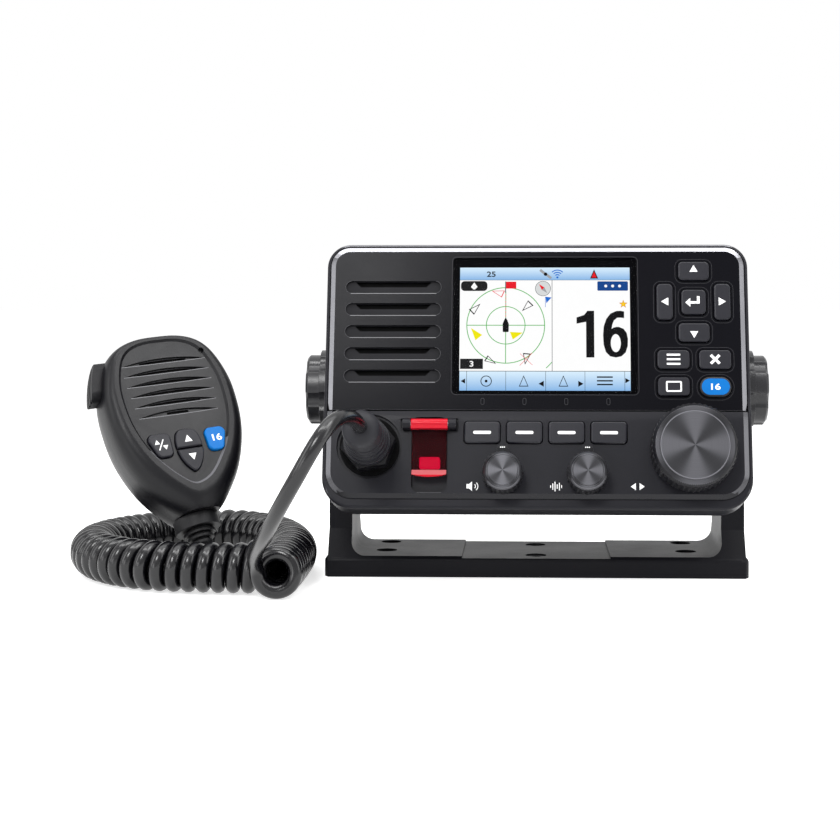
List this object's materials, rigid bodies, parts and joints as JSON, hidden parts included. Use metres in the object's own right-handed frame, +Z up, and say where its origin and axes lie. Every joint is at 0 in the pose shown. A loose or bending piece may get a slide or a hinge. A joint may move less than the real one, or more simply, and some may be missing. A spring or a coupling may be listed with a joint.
{
  "type": "fixed-mount marine radio",
  "caption": "Marine radio with a colour screen, speaker slots, keys and knobs, tilting in a U-shaped bracket, with a fist microphone on a curly cord.",
  "frame": {"origin": "centre of the middle screw pair on the underside of the bracket's base", "axes": "+X to the right seen from the front, +Y to the back, +Z up"},
  "size_m": [0.3048, 0.2007, 0.1428],
  "materials": {
    "bracket_plastic": "moulded, fine texture",
    "knob_plastic": "moulded, satin",
    "case_plastic": "moulded, fine texture",
    "gloss_panel": "smooth satin black",
    "screen_glass": "clear, polished",
    "display": "lit colour display",
    "speaker_black": "black cloth and steel",
    "circuit_board": "solder mask",
    "control_metal": "plated",
    "spun_metal": "spun, dark anodised",
    "red_clear": "clear red, polished",
    "red_button": "moulded red",
    "socket_black": "moulded, satin",
    "cord_rubber": "smooth rubber",
    "chassis_paint": "die cast, black paint",
    "connector_chrome": "nickel plated",
    "ground_brass": "plated brass",
    "mic_plastic": "moulded, fine texture",
    "talk_rubber": "soft rubber",
    "key_rubber": "moulded rubber",
    "blue_key": "blue cap"
  },
  "bodies": {
    "bracket": {"bracket": "bracket_plastic", "mic_front_case": "mic_plastic", "mic_rear_case": "mic_plastic", "mic_speaker": "speaker_black", "mic_board": "circuit_board", "mic_hanger_stud": "control_metal", "mic_screws": "control_metal", "mic_strain_relief": "cord_rubber", "cord_lead": "cord_rubber", "cord_coil": "cord_rubber", "cord_tail": "cord_rubber"},
    "radio": {"front_case": "case_plastic", "case_seal": "cord_rubber", "display_panel": "gloss_panel", "screen_window": "screen_glass", "lcd_module": "display", "speaker": "speaker_black", "key_board": "circuit_board", "rotary_controls": "control_metal", "main_board": "circuit_board", "hinge_pin": "control_metal", "mic_socket": "socket_black", "plug_nut": "socket_black", "plug_boot": "cord_rubber", "rear_chassis": "chassis_paint", "rear_screws": "control_metal", "antenna_sockets": "connector_chrome", "data_sockets": "socket_black", "power_gland": "socket_black", "ground_terminal": "ground_brass", "friction_washers": "control_metal"},
    "left_clamp": {"left_clamp_knob": "knob_plastic"},
    "right_clamp": {"right_clamp_knob": "knob_plastic"},
    "channel_press": {"channel_plunger": "knob_plastic"},
    "channel_turner": {"channel_knob": "knob_plastic", "channel_knob_disc": "spun_metal"},
    "volume": {"volume_knob": "knob_plastic", "volume_knob_disc": "spun_metal"},
    "squelch": {"squelch_knob": "knob_plastic", "squelch_knob_disc": "spun_metal"},
    "distress_flap": {"distress_cover": "red_clear"},
    "distress_switch": {"distress_button": "red_button"},
    "talk_switch": {"mic_talk_button": "talk_rubber"},
    "key_up_cap": {"key_up": "key_rubber"},
    "key_left_cap": {"key_left": "key_rubber"},
    "key_enter_cap": {"key_enter": "key_rubber"},
    "key_right_cap": {"key_right": "key_rubber"},
    "key_down_cap": {"key_down": "key_rubber"},
    "key_menu_cap": {"key_menu": "key_rubber"},
    "key_clear_cap": {"key_clear": "key_rubber"},
    "key_display_cap": {"key_display": "key_rubber"},
    "key_sixteen_cap": {"key_sixteen": "blue_key"},
    "soft_key_1_cap": {"soft_key_1": "key_rubber"},
    "soft_key_2_cap": {"soft_key_2": "key_rubber"},
    "soft_key_3_cap": {"soft_key_3": "key_rubber"},
    "soft_key_4_cap": {"soft_key_4": "key_rubber"},
    "mic_power_key_cap": {"mic_power_key": "key_rubber"},
    "mic_up_key_cap": {"mic_up_key": "key_rubber"},
    "mic_down_key_cap": {"mic_down_key": "key_rubber"},
    "mic_blue_key_cap": {"mic_blue_key": "blue_key"}
  },
  "joints": [
    {"name": "tilt", "type": "hinge", "parent": "bracket", "child": "radio", "pos_m": [0, 0, 0.0795], "axis": [1, 0, 0], "range_deg": [-30, 20], "deforming": ["cord_lead"]},
    {"name": "left_clamp_turn", "type": "hinge", "parent": "radio", "child": "left_clamp", "pos_m": [-0.09, 0, 0.0795], "axis": [-1, 0, 0], "range_deg": [0, 360]},
    {"name": "right_clamp_turn", "type": "hinge", "parent": "radio", "child": "right_clamp", "pos_m": [0.09, 0, 0.0795], "axis": [1, 0, 0], "range_deg": [0, 360]},
    {"name": "channel_push", "type": "slide", "parent": "radio", "child": "channel_press", "axis": [0, 0.9659, -0.2588], "range_m": [0, 0.0012], "stiffness_N_per_m": 2500, "springref_m": -0.0005},
    {"name": "channel_turn", "type": "hinge", "parent": "channel_press", "child": "channel_turner", "pos_m": [0.0639, -0.06727, 0.06026], "axis": [0, 0.9659, -0.2588], "continuous": true},
    {"name": "volume_turn", "type": "hinge", "parent": "radio", "child": "volume", "pos_m": [-0.014, -0.06511, 0.04901], "axis": [0, 0.9659, -0.2588], "range_deg": [-140, 140]},
    {"name": "squelch_turn", "type": "hinge", "parent": "radio", "child": "squelch", "pos_m": [0.0207, -0.06511, 0.04901], "axis": [0, 0.9659, -0.2588], "range_deg": [-140, 140]},
    {"name": "distress_cover_hinge", "type": "hinge", "parent": "radio", "child": "distress_flap", "pos_m": [-0.0444, -0.05581, 0.06826], "axis": [-1, 0, 0], "range_deg": [0, 100], "stiffness_Nm_per_rad": 0.003, "springref_deg": -17.19},
    {"name": "distress_push", "type": "slide", "parent": "radio", "child": "distress_switch", "axis": [0, 0.9659, -0.2588], "range_m": [0, 0.0012], "stiffness_N_per_m": 2500, "springref_m": -0.0005},
    {"name": "talk_push", "type": "slide", "parent": "bracket", "child": "talk_switch", "axis": [0.8215, 0.5621, 0.0957], "range_m": [0, 0.0015], "stiffness_N_per_m": 2500, "springref_m": -0.0005},
    {"name": "key_up_push", "type": "slide", "parent": "radio", "child": "key_up_cap", "axis": [0, 0.9659, -0.2588], "range_m": [0, 0.001], "stiffness_N_per_m": 2000, "springref_m": -0.0005},
    {"name": "key_left_push", "type": "slide", "parent": "radio", "child": "key_left_cap", "axis": [0, 0.9659, -0.2588], "range_m": [0, 0.001], "stiffness_N_per_m": 2000, "springref_m": -0.0005},
    {"name": "key_enter_push", "type": "slide", "parent": "radio", "child": "key_enter_cap", "axis": [0, 0.9659, -0.2588], "range_m": [0, 0.001], "stiffness_N_per_m": 2000, "springref_m": -0.0005},
    {"name": "key_right_push", "type": "slide", "parent": "radio", "child": "key_right_cap", "axis": [0, 0.9659, -0.2588], "range_m": [0, 0.001], "stiffness_N_per_m": 2000, "springref_m": -0.0005},
    {"name": "key_down_push", "type": "slide", "parent": "radio", "child": "key_down_cap", "axis": [0, 0.9659, -0.2588], "range_m": [0, 0.001], "stiffness_N_per_m": 2000, "springref_m": -0.0005},
    {"name": "key_menu_push", "type": "slide", "parent": "radio", "child": "key_menu_cap", "axis": [0, 0.9659, -0.2588], "range_m": [0, 0.001], "stiffness_N_per_m": 2000, "springref_m": -0.0005},
    {"name": "key_clear_push", "type": "slide", "parent": "radio", "child": "key_clear_cap", "axis": [0, 0.9659, -0.2588], "range_m": [0, 0.001], "stiffness_N_per_m": 2000, "springref_m": -0.0005},
    {"name": "key_display_push", "type": "slide", "parent": "radio", "child": "key_display_cap", "axis": [0, 0.9659, -0.2588], "range_m": [0, 0.001], "stiffness_N_per_m": 2000, "springref_m": -0.0005},
    {"name": "key_sixteen_push", "type": "slide", "parent": "radio", "child": "key_sixteen_cap", "axis": [0, 0.9659, -0.2588], "range_m": [0, 0.001], "stiffness_N_per_m": 2000, "springref_m": -0.0005},
    {"name": "soft_key_1_push", "type": "slide", "parent": "radio", "child": "soft_key_1_cap", "axis": [0, 0.9659, -0.2588], "range_m": [0, 0.001], "stiffness_N_per_m": 2000, "springref_m": -0.0005},
    {"name": "soft_key_2_push", "type": "slide", "parent": "radio", "child": "soft_key_2_cap", "axis": [0, 0.9659, -0.2588], "range_m": [0, 0.001], "stiffness_N_per_m": 2000, "springref_m": -0.0005},
    {"name": "soft_key_3_push", "type": "slide", "parent": "radio", "child": "soft_key_3_cap", "axis": [0, 0.9659, -0.2588], "range_m": [0, 0.001], "stiffness_N_per_m": 2000, "springref_m": -0.0005},
    {"name": "soft_key_4_push", "type": "slide", "parent": "radio", "child": "soft_key_4_cap", "axis": [0, 0.9659, -0.2588], "range_m": [0, 0.001], "stiffness_N_per_m": 2000, "springref_m": -0.0005},
    {"name": "mic_power_key_push", "type": "slide", "parent": "bracket", "child": "mic_power_key_cap", "axis": [-0.463, 0.7556, -0.4633], "range_m": [0, 0.0008], "stiffness_N_per_m": 2000, "springref_m": -0.0005},
    {"name": "mic_up_key_push", "type": "slide", "parent": "bracket", "child": "mic_up_key_cap", "axis": [-0.463, 0.7556, -0.4633], "range_m": [0, 0.0008], "stiffness_N_per_m": 2000, "springref_m": -0.0005},
    {"name": "mic_down_key_push", "type": "slide", "parent": "bracket", "child": "mic_down_key_cap", "axis": [-0.463, 0.7556, -0.4633], "range_m": [0, 0.0008], "stiffness_N_per_m": 2000, "springref_m": -0.0005},
    {"name": "mic_blue_key_push", "type": "slide", "parent": "bracket", "child": "mic_blue_key_cap", "axis": [-0.463, 0.7556, -0.4633], "range_m": [0, 0.0008], "stiffness_N_per_m": 2000, "springref_m": -0.0005}
  ]
}
